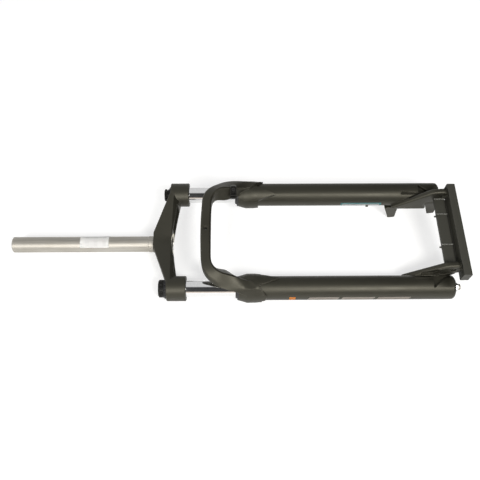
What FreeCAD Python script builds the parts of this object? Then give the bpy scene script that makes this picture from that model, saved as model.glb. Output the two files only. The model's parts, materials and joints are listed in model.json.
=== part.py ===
import FreeCAD, Part
import math
import os

# A telescopic fat bike fork, in millimetres.
# The origin is on the steerer axis at the crown race seat.
# +Z runs up the steerer, +X forward and +Y to the rider's left.

# Steerer tube
steerer_od = 28.6
steerer_wall = 2.3
steerer_length = 257.0
race_seat_od = 30.0
race_seat_height = 9.0
steerer_root = 31.0

# Crown
leg_spacing = 190.0
crown_offset = 16.5
hub_od = 38.0
hub_height = 33.0
hub_bevel = 5.0
boss_od = 44.0
boss_drop = 30.0
boss_height = 34.0
boss_bevel = 1.0
arm_front_hub = 21.0
arm_back_hub = 18.0
arm_back_boss = 17.0
arm_peak = 1.0
arm_flat = 13.2
arm_slope = 0.37
arm_height_hub = 32.8
arm_height_boss = 18.7
arm_arch_share = 0.42
arm_corner = 2.0
arm_wall = 5.0
arm_facet_rise = 13.0
arm_facet_depth = 10.0

# Stanchions
stanchion_od = 30.0
stanchion_wall = 2.0
stanchion_length = 385.0

# Travel, and the lengths left over at its end
travel = 70.0
travel_reserve = 22.0
bottomout_gap = 5.0
bottomout_height = 28.0

# Lower casting: legs
leg_od = 42.0
foot_radius = 6.0
foot_thickness = 14.0
foot_hole_r = 4.3
shoulder_od = 51.0
shoulder_length = 40.0
shoulder_tip = 32.0
shoulder_cone = 14.0
shoulder_cone_inset = 4.0
bush_od = 33.0
bush_length = 28.0
bush_gap = 115.0
bore_below_bush = 32.0
foot_bore = 24.0

# Lower casting: arch
arch_rise = 67.0
arch_band = 18.0
arch_depth = 21.0
arch_gap = 3.5
arch_edge = 2.4
arch_hole_r = 2.75
arch_hole_recess_r = 4.4
arch_hole_recess = 1.6

# Lower casting: dropouts
hub_width = 135.0
axle_r = 4.5
axle_clearance = 0.1
axle_ahead = 35.5
axle_above_foot = 9.0
dropout_thickness = 11.0
dropout_tip = 14.5
dropout_nose = 15.0
dropout_arm_rise = 78.0
dropout_pocket = 5.0
dropout_edge = 4.0
leg_notch = 7.5
leg_pocket = 3.5
axle_nut_r = 16.0

# Lower casting: brake posts, on the left leg
brake_spacing = 74.0
brake_tilt = 12.0
brake_width = 15.0
brake_inboard = 13.0
brake_reach = 45.5
brake_post_tip = 13.0
brake_post_base = 25.0
brake_post_neck = 14.0
brake_post_flare = 2.0
brake_post_bend = 8.0
brake_thread_r = 2.5
brake_thread_depth = 16.0
brake_above_axle = 36.2
brake_web = 5.0

# Lower casting: hose nub, on the left leg
nub_r = 2.5
nub_height = 2.5
nub_above_axle = 123.0
nub_angle = 64.6

# Seals and bushings
fit = 0.05
wiper_od = 40.0
wiper_seat = 7.0
wiper_flange = 3.0
wiper_lip = 3.0
wiper_brim = 1.2
foam_height = 6.0

# Top caps and knobs
cap_plug = 16.0
spring_cap_od = 30.0
spring_cap_height = 3.2
damper_cap_od = 35.6
damper_cap_height = 4.0
cap_notches = 12
cap_notch_r = 1.6
knob_gap = 0.3
preload_knob_od = 23.0
preload_knob_height = 9.0
preload_knob_scallops = 8
lockout_knob_od = 31.0
lockout_knob_height = 9.7
lockout_knob_flutes = 16
spindle_r = 3.0
lockout_spindle_r = 2.5
knob_skirt = 2.5

# Spring side
preload_travel = 8.0
plunger_height = 80.0
plunger_below_cap = 12.0
rod_r = 6.0
guide_height = 12.0
topout_height = 9.0
perch_height = 10.0
perch_base = 4.0
bottomout_r = 11.0
spring_wire_r = 2.2
spring_turns = 16
spring_steps = 12
running_gap = 0.3

# Damper side
damper_tube_r = 11.0
damper_tube_wall = 1.5
damper_inset = 35.5
seal_head_height = 14.0
seal_head_rim = 4.0
damper_shaft_r = 4.0
piston_height = 12.0
piston_inset = 80.0

# Feet
washer_r = 8.5
washer_thickness = 1.2
foot_nut_flats = 13.0
foot_nut_height = 5.5
foot_bolt_head_r = 6.5
foot_bolt_head_height = 5.0
foot_bolt_thread = 30.0

# Hose guide
guide_width = 11.5
guide_length = 25.0
guide_plate = 3.0
guide_pad_depth = 10.0
guide_screw_r = 1.6
guide_screw_head_r = 3.0
guide_screw_head = 2.0
guide_socket_r = 1.3
guide_socket = 1.4
guide_corner = 3.0
guide_saddle_r = 5.2
guide_hose_r = 2.7
guide_hose_rise = 1.6
guide_mouth = 3.6
guide_turn = 50.0
guide_forward = 35.0
guide_inboard = 14.7
guide_above_top = 9.0

# Dropout spacer
spacer_clearance = 0.25
spacer_length = 181.0
spacer_bar_height = 14.5
spacer_bar_depth = 24.0
spacer_wall = 2.5
spacer_front = 8.5
tray_height = 23.0
tray_depth = 16.0
tray_groove = 4.0
tray_rib = 1.6
tray_rib_depth = 2.5
tray_rib_places = (0.53, -0.39)
tray_nub_r = 1.6
tray_nub = 3.5

# Places worked out from the sizes above
leg_y = leg_spacing / 2
stanchion_r = stanchion_od / 2
stanchion_bore_r = stanchion_r - stanchion_wall
boss_top = -boss_drop
boss_bottom = boss_top - boss_height
stanchion_end = boss_top - stanchion_length
leg_top = boss_bottom - travel - travel_reserve
bumper_top = stanchion_end - travel - bottomout_gap
leg_floor = bumper_top - bottomout_height
leg_foot = leg_floor - foot_thickness
leg_r = leg_od / 2
shoulder_r = shoulder_od / 2
bush_r = bush_od / 2
foam_top = leg_top - wiper_seat
bush_top = foam_top - foam_height
lower_bush_top = bush_top - bush_length - bush_gap
axle_x = crown_offset + axle_ahead
axle_z = leg_foot + axle_above_foot
hub_half = hub_width / 2
dropout_outer = hub_half + dropout_thickness
slot_r = axle_r + axle_clearance
washer_face = leg_foot - washer_thickness
damper_tube_end = stanchion_end + damper_inset


def vector(x, y, z):
    return FreeCAD.Vector(x, y, z)


def at_leg(shape, side):
    """A shape made on the Z axis, put on the left (+1) or right (-1) leg's axis."""
    placed = shape.copy()
    placed.translate(vector(crown_offset, side * leg_y, 0))
    return placed


def mirrored(shape):
    """The same shape on the other side of the wheel's plane."""
    return shape.mirror(vector(0, 0, 0), vector(0, 1, 0))


def turned(outline):
    """A solid of revolution about the Z axis, from a closed outline of (radius, height) points."""
    points = [vector(radius, 0, height) for radius, height in outline]
    face = Part.Face(Part.makePolygon(points + points[:1]))
    return face.revolve(vector(0, 0, 0), vector(0, 0, 1), 360)


def tube(outer_r, inner_r, bottom, top):
    return turned([(inner_r, bottom), (outer_r, bottom), (outer_r, top), (inner_r, top)])


def rod(radius, bottom, top):
    return Part.makeCylinder(radius, top - bottom, vector(0, 0, bottom))


def rounded_face(corners, place):
    """A face with straight sides and each corner (u, v, radius) rounded off. place(u, v) gives the point."""
    bends = []
    for index, (u, v, radius) in enumerate(corners):
        here = vector(u, v, 0)
        last = corners[index - 1]
        following = corners[(index + 1) % len(corners)]
        back = vector(last[0], last[1], 0).sub(here).normalize()
        ahead = vector(following[0], following[1], 0).sub(here).normalize()
        half_angle = back.getAngle(ahead) / 2
        run = radius / math.tan(half_angle)
        depth = radius / math.sin(half_angle) - radius
        middle = here + (back + ahead).normalize() * depth
        bends.append((here + back * run, middle, here + ahead * run, radius))
    edges = []
    for index, (start, middle, end, radius) in enumerate(bends):
        if radius > 0:
            arc = Part.Arc(place(start.x, start.y), place(middle.x, middle.y), place(end.x, end.y))
            edges.append(arc.toShape())
        onward = bends[(index + 1) % len(bends)][0]
        edges.append(Part.LineSegment(place(end.x, end.y), place(onward.x, onward.y)).toShape())
    return Part.Face(Part.Wire(edges))


def side_prism(corners, y_from, y_to):
    """An outline of (x, z, radius) corners, seen from the side and extruded across the fork."""
    face = rounded_face(corners, lambda x, z: vector(x, y_from, z))
    return face.extrude(vector(0, y_to - y_from, 0))


def front_prism(corners, x_from, x_to):
    """An outline of (y, z, radius) corners, seen from the front and extruded along the wheel's plane."""
    face = rounded_face(corners, lambda y, z: vector(x_from, y, z))
    return face.extrude(vector(x_to - x_from, 0, 0))


def beyond_plane(first, second, third, inside):
    """All that lies past the plane through three points, on the side away from the point inside."""
    normal = second.sub(first).cross(third.sub(first)).normalize()
    if normal.dot(inside.sub(first)) > 0:
        normal = normal * -1
    return Part.makeCylinder(leg_spacing, leg_spacing, first, normal)


def steerer_tube():
    inner = steerer_od / 2 - steerer_wall
    lip = 1.0
    return turned([
        (inner, -steerer_root),
        (steerer_od / 2, -steerer_root),
        (steerer_od / 2, 0),
        (race_seat_od / 2, 0),
        (race_seat_od / 2, race_seat_height - lip),
        (steerer_od / 2, race_seat_height),
        (steerer_od / 2, steerer_length - lip),
        (steerer_od / 2 - lip, steerer_length),
        (inner, steerer_length),
    ])


def crown_arm():
    """The left arm: a forged plate, flat in front and hollow below, with a facet on its lower front."""
    lowest = -arm_peak - arm_height_hub
    half_way = leg_y / 2

    def top_z(y):
        return -arm_peak - arm_slope * (y - arm_flat)

    end_top = top_z(leg_y)
    end_bottom = end_top - arm_height_boss
    arch_middle = lowest + (end_bottom - lowest) * arm_arch_share

    def along(hub_x, boss_x, y):
        return hub_x + (boss_x - hub_x) * y / leg_y

    def front_x(y):
        return along(arm_front_hub, crown_offset + boss_od / 2, y)

    def back_x(y):
        return along(-arm_back_hub, crown_offset - arm_back_boss, y)

    def plan(y_from, y_to, inset):
        """The arm seen from above, as a tall prism."""
        points = [
            vector(front_x(y_from) - inset, y_from, -leg_y), vector(front_x(y_to) - inset, y_to, -leg_y),
            vector(back_x(y_to) + inset, y_to, -leg_y), vector(back_x(y_from) + inset, y_from, -leg_y),
        ]
        return Part.Face(Part.makePolygon(points + points[:1])).extrude(vector(0, 0, 2 * leg_y))

    x = -leg_y
    peak = vector(x, 0, -arm_peak)
    flat_end = vector(x, arm_flat, -arm_peak)
    shoulder_end = vector(x, leg_y, end_top)
    foot_end = vector(x, leg_y, end_bottom)
    middle = vector(x, half_way, arch_middle)
    root = vector(x, 0, lowest)
    outline = Part.Wire([
        Part.LineSegment(peak, flat_end).toShape(),
        Part.LineSegment(flat_end, shoulder_end).toShape(),
        Part.LineSegment(shoulder_end, foot_end).toShape(),
        Part.Arc(foot_end, middle, root).toShape(),
        Part.LineSegment(root, peak).toShape(),
    ])
    plate = Part.Face(outline).extrude(vector(2 * leg_y, 0, 0)).common(plan(0, leg_y, 0))
    long_edges = [edge for edge in plate.Edges if edge.BoundBox.YLength > arm_corner]
    plate = plate.makeFillet(arm_corner, long_edges)

    pocket_from = hub_od / 2 + 1.0
    pocket_to = leg_y - boss_od / 2 - arm_wall
    pocket = front_prism([
        (pocket_from, top_z(pocket_from) - arm_wall, 0), (pocket_to, top_z(pocket_to) - arm_wall, 0),
        (pocket_to, -leg_y, 0), (pocket_from, -leg_y, 0),
    ], -leg_y, leg_y)
    plate = plate.cut(pocket.common(plan(pocket_from, pocket_to, arm_wall)))

    near = vector(front_x(pocket_from), pocket_from, lowest)
    far_front = vector(front_x(leg_y), leg_y, end_bottom + arm_facet_rise)
    far_below = vector(front_x(leg_y) - arm_facet_depth, leg_y, end_bottom)
    return plate.cut(beyond_plane(near, far_front, far_below, vector(0, 0, -arm_peak - arm_corner)))


def crown():
    hub = turned([
        (0, -hub_height), (hub_od / 2, -hub_height), (hub_od / 2, -hub_bevel),
        (race_seat_od / 2, 0), (0, 0),
    ])
    boss = turned([
        (0, boss_bottom), (boss_od / 2 - boss_bevel, boss_bottom), (boss_od / 2, boss_bottom + boss_bevel),
        (boss_od / 2, boss_top - boss_bevel), (boss_od / 2 - boss_bevel, boss_top), (0, boss_top),
    ])
    arm = crown_arm()
    body = hub.fuse([arm, mirrored(arm), at_leg(boss, 1), at_leg(boss, -1)])
    steerer_bore = rod(steerer_od / 2, -2 * hub_height, 0)
    stanchion_bore = rod(stanchion_r, boss_bottom, boss_top)
    cuts = [steerer_bore]
    for side, cap_od in ((1, spring_cap_od), (-1, damper_cap_od)):
        cap_room = rod(cap_od / 2 + running_gap, boss_top, boss_top + boss_drop)
        cuts.append(at_leg(stanchion_bore, side))
        cuts.append(at_leg(cap_room, side))
    return body.cut(cuts).removeSplitter()


def stanchion():
    return tube(stanchion_r, stanchion_bore_r, stanchion_end, boss_top)


def arch_half():
    """The left half of the arch, from its middle to the leg: a loft through sections that twist outwards."""
    top = leg_top + arch_rise
    below = top - arch_band
    back = crown_offset + boss_od / 2 + arch_gap
    front = back + arch_depth

    def section(inner, outer, front_x, crease_x, crease_share, outer_back_x, back_x, back_share):
        """A flat section from its inner to its outer (y, z) edge, creased in front and flared behind."""
        def point(x, share):
            y = inner[0] + (outer[0] - inner[0]) * share
            z = inner[1] + (outer[1] - inner[1]) * share
            return vector(x, y, z)

        corners = [
            point(front_x, 0), point(crease_x, crease_share), point(outer_back_x, 1), point(back_x, back_share),
        ]
        softened = []
        for index, corner in enumerate(corners):
            behind = corners[index - 1].sub(corner).normalize()
            ahead = corners[(index + 1) % 4].sub(corner).normalize()
            softened.append(corner + behind * arch_edge)
            softened.append(corner + ahead * arch_edge)
        return Part.makePolygon(softened + softened[:1])

    in_leg = crown_offset + stanchion_r
    sections = [
        section((0, below), (0, top), front, front, 1.0, back, back, 0),
        section((leg_y - 70, below), (leg_y - 69, top - 0.1), front, front - 0.5, 1.0, back, back, 0),
        section((leg_y - 46, below - 0.4), (leg_y - 43, top - 1.2), front, front - 2, 1.0, back, back, 0),
        section((leg_y - 26, below - 4), (leg_y - 14, top - 7.5), front, front - 6, 0.97, back, back - 1, -0.25),
        section((leg_y - 14, below - 14), (leg_y + 5, top - 24), front, front - 13, 0.84, back, back - 3, -0.7),
        section(
            (leg_y - 9, below - 30), (leg_y + 16, top - 50),
            front - 4, front - 17, 0.72, back - 1, back - 5, -0.65),
        section(
            (leg_y - 7, below - 48), (leg_y + 21, top - 77),
            front - 12, front - 19, 0.72, in_leg, in_leg, -0.3),
        section(
            (leg_y - 3, below - 69), (leg_y + 20, top - 112),
            front - 18, front - 20, 0.6, in_leg, in_leg, 0),
    ]
    return Part.makeLoft(sections, True, False, False, 3)


def shoulder():
    """The thick upper part of a leg round the seals and bushing, with a pointed lower edge at the front."""
    barrel = turned([
        (0, leg_top - shoulder_length - shoulder_tip),
        (shoulder_r - 2.5, leg_top - shoulder_length - shoulder_tip),
        (shoulder_r - 1.0, leg_top - shoulder_length),
        (shoulder_r, leg_top - shoulder_length + 12),
        (shoulder_r, leg_top - shoulder_cone),
        (shoulder_r - shoulder_cone_inset, leg_top),
        (0, leg_top),
    ])
    lower = leg_top - shoulder_length
    outline = [
        (-shoulder_r - 1, leg_top + 1, 0),
        (-shoulder_r - 1, lower + 3, 0),
        (-shoulder_r * 0.78, lower + 3, 2),
        (-shoulder_r * 0.42, lower - shoulder_tip, 1.5),
        (shoulder_r * 0.2, lower + 8, 3),
        (shoulder_r * 0.85, lower - 8, 1.5),
        (shoulder_r + 1, lower, 0),
        (shoulder_r + 1, leg_top + 1, 0),
    ]
    front = front_prism(outline, 0, shoulder_r + 1)
    rear = front_prism([
        (-shoulder_r - 1, leg_top + 1, 0), (-shoulder_r - 1, lower + 3, 0),
        (shoulder_r + 1, lower, 0), (shoulder_r + 1, leg_top + 1, 0),
    ], -shoulder_r - 1, 0)
    return barrel.common(front.fuse(rear))


def leg_blank():
    """One leg outside: the shoulder, the plain tube and its rounded foot."""
    bend = foot_radius * (1 - math.sqrt(0.5))
    tube_points = [
        vector(0, 0, leg_top - 2),
        vector(leg_r, 0, leg_top - 2),
        vector(leg_r, 0, leg_foot + foot_radius),
        vector(leg_r - bend, 0, leg_foot + bend),
        vector(leg_r - foot_radius, 0, leg_foot),
        vector(0, 0, leg_foot),
    ]
    outline = Part.Wire([
        Part.LineSegment(tube_points[0], tube_points[1]).toShape(),
        Part.LineSegment(tube_points[1], tube_points[2]).toShape(),
        Part.Arc(tube_points[2], tube_points[3], tube_points[4]).toShape(),
        Part.LineSegment(tube_points[4], tube_points[5]).toShape(),
        Part.LineSegment(tube_points[5], tube_points[0]).toShape(),
    ])
    plain = Part.Face(outline).revolve(vector(0, 0, 0), vector(0, 0, 1), 360)
    return plain.fuse(shoulder())


def leg_bore():
    """The room inside a leg, with its seats for the wiper, the foam ring and the bushings."""
    lower_seat = lower_bush_top - bush_length
    bore_r = bore_below_bush / 2
    return turned([
        (0, leg_floor), (foot_bore / 2, leg_floor), (foot_bore / 2, bumper_top), (bore_r, bumper_top),
        (bore_r, lower_seat), (bush_r, lower_seat),
        (bush_r, bush_top), (wiper_od / 2, bush_top), (wiper_od / 2, leg_top + 1), (0, leg_top + 1),
    ])


def dropout():
    """The left dropout: a tapered arm from the leg's inner side to an open axle slot, with a pocket outside."""
    top = axle_z + dropout_arm_rise
    tip = axle_z - dropout_tip
    outline = [
        (crown_offset - 10, top, 3),
        (crown_offset - 4, top, 4),
        (axle_x + dropout_nose - 3, axle_z + 14, 14),
        (axle_x + dropout_nose, tip, 9),
        (axle_x - dropout_nose + 2, tip, 5),
        (axle_x - dropout_nose, axle_z + 4, 5),
        (crown_offset + 11, axle_z + 22, 9),
        (crown_offset - 10, axle_z + 12, 3),
    ]
    arm = side_prism(outline, hub_half, dropout_outer)
    front_edges = []
    for edge in arm.Edges:
        box = edge.BoundBox
        ahead = box.Center.x - crown_offset - (top - box.Center.z) * axle_ahead / (top - tip)
        if box.YLength < fit and ahead > 0 and box.Center.z > tip + dropout_edge:
            front_edges.append(edge)
    arm = arm.makeFillet(dropout_edge, front_edges)
    pocket_floor = dropout_outer - dropout_pocket
    pocket = side_prism([
        (crown_offset + 14, axle_z + 56, 3),
        (axle_x + 3, axle_z + 24, 4),
        (axle_x - dropout_nose + dropout_pocket, axle_z + 17, 4),
        (crown_offset + 14, axle_z + 28, 3),
    ], pocket_floor, dropout_outer + leg_od)
    return arm.cut(pocket)


def axle_slot():
    """The open slot that takes the wheel's axle from below, cut through both dropouts."""
    reach = dropout_outer + 1
    seat = Part.makeCylinder(slot_r, 2 * reach, vector(axle_x, -reach, axle_z), vector(0, 1, 0))
    mouth = Part.makeBox(2 * slot_r, 2 * reach, dropout_tip + 1,
                         vector(axle_x - slot_r, -reach, axle_z - dropout_tip - 1))
    return seat.fuse(mouth)


def nut_room():
    """Room in front of the left leg for the axle's nut, with a notch above and a scoop beside the arm."""
    nut = Part.makeCylinder(axle_nut_r, leg_od, vector(axle_x, dropout_outer, axle_z), vector(0, 1, 0))
    notch_x = crown_offset + leg_r - leg_notch
    notch = front_prism([
        (dropout_outer, axle_z + 31, 0),
        (leg_y + 10, axle_z + 31, 1),
        (dropout_outer, axle_z + 2, 0),
    ], notch_x, notch_x + leg_od)
    scoop_x = crown_offset + leg_r - leg_pocket
    scoop = front_prism([
        (dropout_outer, axle_z + 66, 0), (leg_y - 4, axle_z + 62, 2),
        (leg_y - 9, axle_z + 31, 0), (dropout_outer, axle_z + 31, 0),
    ], scoop_x, scoop_x + leg_od)
    return nut.fuse([notch, scoop])


def hose_nub():
    """A small boss on the left leg's inner side that a hose clip snaps over."""
    turn = math.radians(nub_angle)
    inward = vector(-math.cos(turn), -math.sin(turn), 0)
    foot = vector(crown_offset, leg_y, axle_z + nub_above_axle) + inward * (leg_r - 1)
    return Part.makeCylinder(nub_r, nub_height + 1, foot, inward)


def brake_posts():
    """Two posts behind the left leg, tied by a web, with their faces in one tilted plane for a caliper."""
    middle_z = axle_z + brake_above_axle
    inner_y = leg_y - brake_inboard - brake_width / 2
    face_x = crown_offset - brake_reach
    root_x = crown_offset - 6

    def post(z):
        half_tip = brake_post_tip / 2
        half_base = brake_post_base / 2
        neck_x = face_x + brake_post_neck
        half_neck = half_tip + brake_post_flare
        return side_prism([
            (root_x, z + half_base, 0), (neck_x, z + half_neck, brake_post_bend), (face_x, z + half_tip, 1.5),
            (face_x, z - half_tip, 1.5), (neck_x, z - half_neck, brake_post_bend), (root_x, z - half_base, 0),
        ], inner_y, inner_y + brake_width)

    def thread(z):
        centre = vector(face_x, inner_y + brake_width / 2, z)
        return Part.makeCylinder(brake_thread_r, brake_thread_depth, centre, vector(1, 0, 0))

    upper = middle_z + brake_spacing / 2
    lower = middle_z - brake_spacing / 2
    web = side_prism([
        (root_x, upper, 0), (root_x - brake_web, upper, 0), (root_x - brake_web, lower, 0), (root_x, lower, 0),
    ], inner_y + brake_width / 3, inner_y + brake_width)
    posts = post(upper).fuse([post(lower), web]).cut([thread(upper), thread(lower)])
    posts.rotate(vector(crown_offset - leg_r, leg_y, middle_z), vector(0, 1, 0), -brake_tilt)
    return posts


def guide_frame(shape):
    """A hose guide shape, made flat with its back on X = 0, put on its pad at the left leg's shoulder."""
    placed = shape.copy()
    placed.rotate(vector(0, 0, 0), vector(0, 0, 1), -guide_turn)
    placed.translate(vector(
        crown_offset + guide_forward, leg_y - guide_inboard, leg_top + guide_above_top))
    return placed


def guide_pad():
    half_width = guide_width / 2
    half_length = guide_length / 2 - 2
    pad = front_prism([
        (-half_length, -half_width, guide_corner), (half_length, -half_width, guide_corner),
        (half_length, half_width, guide_corner), (-half_length, half_width, guide_corner),
    ], -guide_pad_depth, 0)
    hole_depth = guide_pad_depth - 2
    hole_start = vector(-hole_depth, guide_length / 4, 0)
    hole = Part.makeCylinder(guide_screw_r + fit, hole_depth, hole_start, vector(1, 0, 0))
    return guide_frame(pad), guide_frame(hole)


def lower_casting():
    leg = leg_blank()
    left_leg = at_leg(leg, 1)
    right_leg = mirrored(left_leg)
    arch = arch_half()
    arm = dropout()
    pad, pad_hole = guide_pad()
    body = left_leg.fuse([right_leg, arch, mirrored(arch), pad])
    body = body.cut([nut_room(), mirrored(nut_room())])
    body = body.fuse([arm, mirrored(arm)])
    bore = leg_bore()
    foot_hole = rod(foot_hole_r, leg_foot - 1, leg_floor + 1)
    wiper_room = rod(wiper_od / 2 + wiper_brim + running_gap, leg_top, leg_top + arch_rise)
    washer_room = rod(washer_r + running_gap, leg_foot - leg_r, leg_foot)
    body = body.fuse([brake_posts(), hose_nub()])
    cuts = [axle_slot(), pad_hole]
    for side in (1, -1):
        cuts.append(at_leg(bore, side))
        cuts.append(at_leg(foot_hole, side))
        cuts.append(at_leg(wiper_room, side))
        cuts.append(at_leg(washer_room, side))
    hole_z = leg_top + arch_rise - arch_band / 2
    front_x = crown_offset + boss_od / 2 + arch_gap + arch_depth
    hole_start = vector(front_x + 1, 0, hole_z)
    backward = vector(-1, 0, 0)
    cuts.append(Part.makeCylinder(arch_hole_r, 2 * arch_depth, hole_start, backward))
    cuts.append(Part.makeCylinder(arch_hole_recess_r, arch_hole_recess + 1, hole_start, backward))
    return body.cut(cuts).removeSplitter()


def wiper_seal():
    """A rubber wiper pressed in the leg's top, with a flange on the casting and a lip round the stanchion."""
    inner = stanchion_r + fit
    outer = wiper_od / 2
    flange_top = leg_top + wiper_flange
    return turned([
        (inner, leg_top - wiper_seat), (outer, leg_top - wiper_seat), (outer, leg_top),
        (outer + wiper_brim, leg_top), (outer + wiper_brim, flange_top - 1),
        (outer + 0.2, flange_top), (outer - 2, flange_top),
        (stanchion_r + 1.6, flange_top + wiper_lip), (inner, flange_top + wiper_lip),
    ])


def foam_ring():
    return tube(wiper_od / 2, stanchion_r + fit, bush_top, foam_top)


def bushing(top):
    return tube(bush_r, stanchion_r + fit, top - bush_length, top)


def top_cap(flange_od, flange_height, spindle):
    """A cap that screws into the stanchion's top, with a hole for the knob's spindle."""
    bevel = 1.0
    return turned([
        (spindle + fit, boss_top - cap_plug), (stanchion_bore_r, boss_top - cap_plug),
        (stanchion_bore_r, boss_top), (flange_od / 2, boss_top),
        (flange_od / 2, boss_top + flange_height - bevel),
        (flange_od / 2 - bevel, boss_top + flange_height), (spindle + fit, boss_top + flange_height),
    ])


def damper_top_cap():
    """The damper's cap, with notches round its flange for the spanner."""
    cap = top_cap(damper_cap_od, damper_cap_height, lockout_spindle_r)
    cuts = []
    for index in range(cap_notches):
        angle = 2 * math.pi * index / cap_notches
        place = vector(damper_cap_od / 2 * math.cos(angle), damper_cap_od / 2 * math.sin(angle), boss_top)
        cuts.append(Part.makeCylinder(cap_notch_r, damper_cap_height, place))
    return cap.cut(cuts)


def preload_knob():
    """The spring side's knob: a waisted cap with scallops round its grip."""
    bottom = boss_top + spring_cap_height + knob_gap
    top = bottom + preload_knob_height
    outer = preload_knob_od / 2
    blank = turned([
        (spindle_r, bottom), (outer, bottom), (outer, bottom + 2), (outer - 1.8, bottom + 3.2),
        (outer - 1.8, bottom + 4.2), (outer, bottom + 5.2), (outer, top - 1.2), (outer - 1.2, top),
        (spindle_r, top),
    ])
    scallop_r = 3.2
    cuts = []
    for index in range(preload_knob_scallops):
        angle = 2 * math.pi * index / preload_knob_scallops
        reach = outer + scallop_r * 0.55
        place = vector(reach * math.cos(angle), reach * math.sin(angle), bottom + 4.7)
        cuts.append(Part.makeCylinder(scallop_r, preload_knob_height, place))
    return blank.cut(cuts)


def preload_spindle():
    knob_top = boss_top + spring_cap_height + knob_gap + preload_knob_height
    lowest = boss_top - cap_plug - plunger_below_cap - plunger_height - preload_travel
    return rod(spindle_r, lowest, knob_top)


def preload_plunger():
    top = boss_top - cap_plug - plunger_below_cap
    return tube(stanchion_bore_r - running_gap, spindle_r + fit, top - plunger_height, top)


def lockout_knob():
    """The damper side's knob: a fluted cap with a skirt."""
    bottom = boss_top + damper_cap_height + knob_gap
    top = bottom + lockout_knob_height
    outer = lockout_knob_od / 2
    bevel = 1.5
    blank = turned([
        (lockout_spindle_r, bottom), (outer, bottom), (outer, top - bevel), (outer - bevel, top),
        (lockout_spindle_r, top),
    ])
    flute_r = 1.6
    cuts = []
    for index in range(lockout_knob_flutes):
        angle = 2 * math.pi * index / lockout_knob_flutes
        reach = outer + flute_r * 0.5
        cuts.append(Part.makeCylinder(
            flute_r, lockout_knob_height,
            vector(reach * math.cos(angle), reach * math.sin(angle), bottom + knob_skirt)))
    return blank.cut(cuts)


def lockout_spindle():
    knob_top = boss_top + damper_cap_height + knob_gap + lockout_knob_height
    return rod(lockout_spindle_r, boss_top - cap_plug - 6, knob_top)


guide_top = stanchion_end + guide_height
perch_bottom = guide_top + topout_height + 2 * running_gap
perch_top = perch_bottom + perch_height
plunger_face = boss_top - cap_plug - plunger_below_cap - plunger_height


def spring_end_guide():
    return tube(stanchion_bore_r, rod_r + fit, stanchion_end, guide_top)


def top_out_bumper():
    return tube(stanchion_bore_r - running_gap, rod_r + fit, guide_top, guide_top + topout_height)


def spring_perch():
    """The cup on the compression rod that the main spring stands on."""
    spigot_r = stanchion_bore_r - running_gap - 2 * spring_wire_r - 1.0
    return turned([
        (rod_r, perch_bottom), (stanchion_bore_r - running_gap, perch_bottom),
        (stanchion_bore_r - running_gap, perch_bottom + perch_base), (spigot_r, perch_bottom + perch_base),
        (spigot_r, perch_top), (rod_r, perch_top),
    ])


def compression_rod():
    body = rod(rod_r, leg_floor, perch_top)
    return body.cut(rod(foot_hole_r - 0.3 + fit, leg_floor, leg_floor + foot_bolt_thread))


def main_spring():
    """The coil spring between the perch and the plunger: a square-edged wire in short straight steps."""
    bottom = perch_bottom + perch_base + spring_wire_r + running_gap
    top = plunger_face - spring_wire_r - running_gap
    coil_r = stanchion_bore_r - 2 * running_gap - spring_wire_r
    steps = spring_turns * spring_steps
    sections = []
    for step in range(steps + 1):
        turn = 2 * math.pi * step / spring_steps
        height = bottom + (top - bottom) * step / steps
        corners = []
        for out, up in ((1, 0), (0, 1), (-1, 0), (0, -1)):
            radius = coil_r + spring_wire_r * out
            corner_z = height + spring_wire_r * up
            corners.append(vector(radius * math.cos(turn), radius * math.sin(turn), corner_z))
        sections.append(Part.makePolygon(corners + corners[:1]))
    return Part.makeLoft(sections, True, True)


def bottom_out_bumper():
    return tube(bottomout_r, rod_r + fit, leg_floor, bumper_top)


def damper_tube():
    return tube(damper_tube_r, damper_tube_r - damper_tube_wall, damper_tube_end, boss_top - cap_plug)


def damper_seal_head():
    """The bush at the damper tube's lower end that the shaft runs through."""
    inner = damper_shaft_r + fit
    plug_r = damper_tube_r - damper_tube_wall
    return turned([
        (inner, damper_tube_end - seal_head_rim), (damper_tube_r, damper_tube_end - seal_head_rim),
        (damper_tube_r, damper_tube_end), (plug_r, damper_tube_end),
        (plug_r, damper_tube_end + seal_head_height), (inner, damper_tube_end + seal_head_height),
    ])


piston_bottom = damper_tube_end + piston_inset


def damper_piston():
    bore = damper_tube_r - damper_tube_wall
    return tube(bore - fit, damper_shaft_r, piston_bottom, piston_bottom + piston_height)


def damper_shaft():
    """The damper's shaft, fixed at the foot by its nut. A shoulder seats it on the leg's floor."""
    thread_end = washer_face - foot_nut_height - 1.5
    return turned([
        (0, thread_end), (damper_shaft_r, thread_end), (damper_shaft_r, leg_floor),
        (damper_shaft_r + 3, leg_floor), (damper_shaft_r + 3, leg_floor + 12), (damper_shaft_r, leg_floor + 12),
        (damper_shaft_r, piston_bottom + piston_height), (0, piston_bottom + piston_height),
    ])


def foot_washer():
    return tube(washer_r, foot_hole_r, washer_face, leg_foot)


def foot_nut():
    corner_r = foot_nut_flats / math.sqrt(3)
    bottom = washer_face - foot_nut_height
    points = []
    for index in range(7):
        angle = math.pi / 3 * index
        points.append(vector(corner_r * math.cos(angle), corner_r * math.sin(angle), bottom))
    hexagon = Part.Face(Part.makePolygon(points)).extrude(vector(0, 0, foot_nut_height))
    chamfer = turned([
        (0, washer_face), (corner_r, washer_face), (corner_r, bottom + 1),
        (foot_nut_flats / 2, bottom), (0, bottom),
    ])
    return hexagon.common(chamfer).cut(rod(damper_shaft_r, bottom - 1, washer_face + 1))


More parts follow.
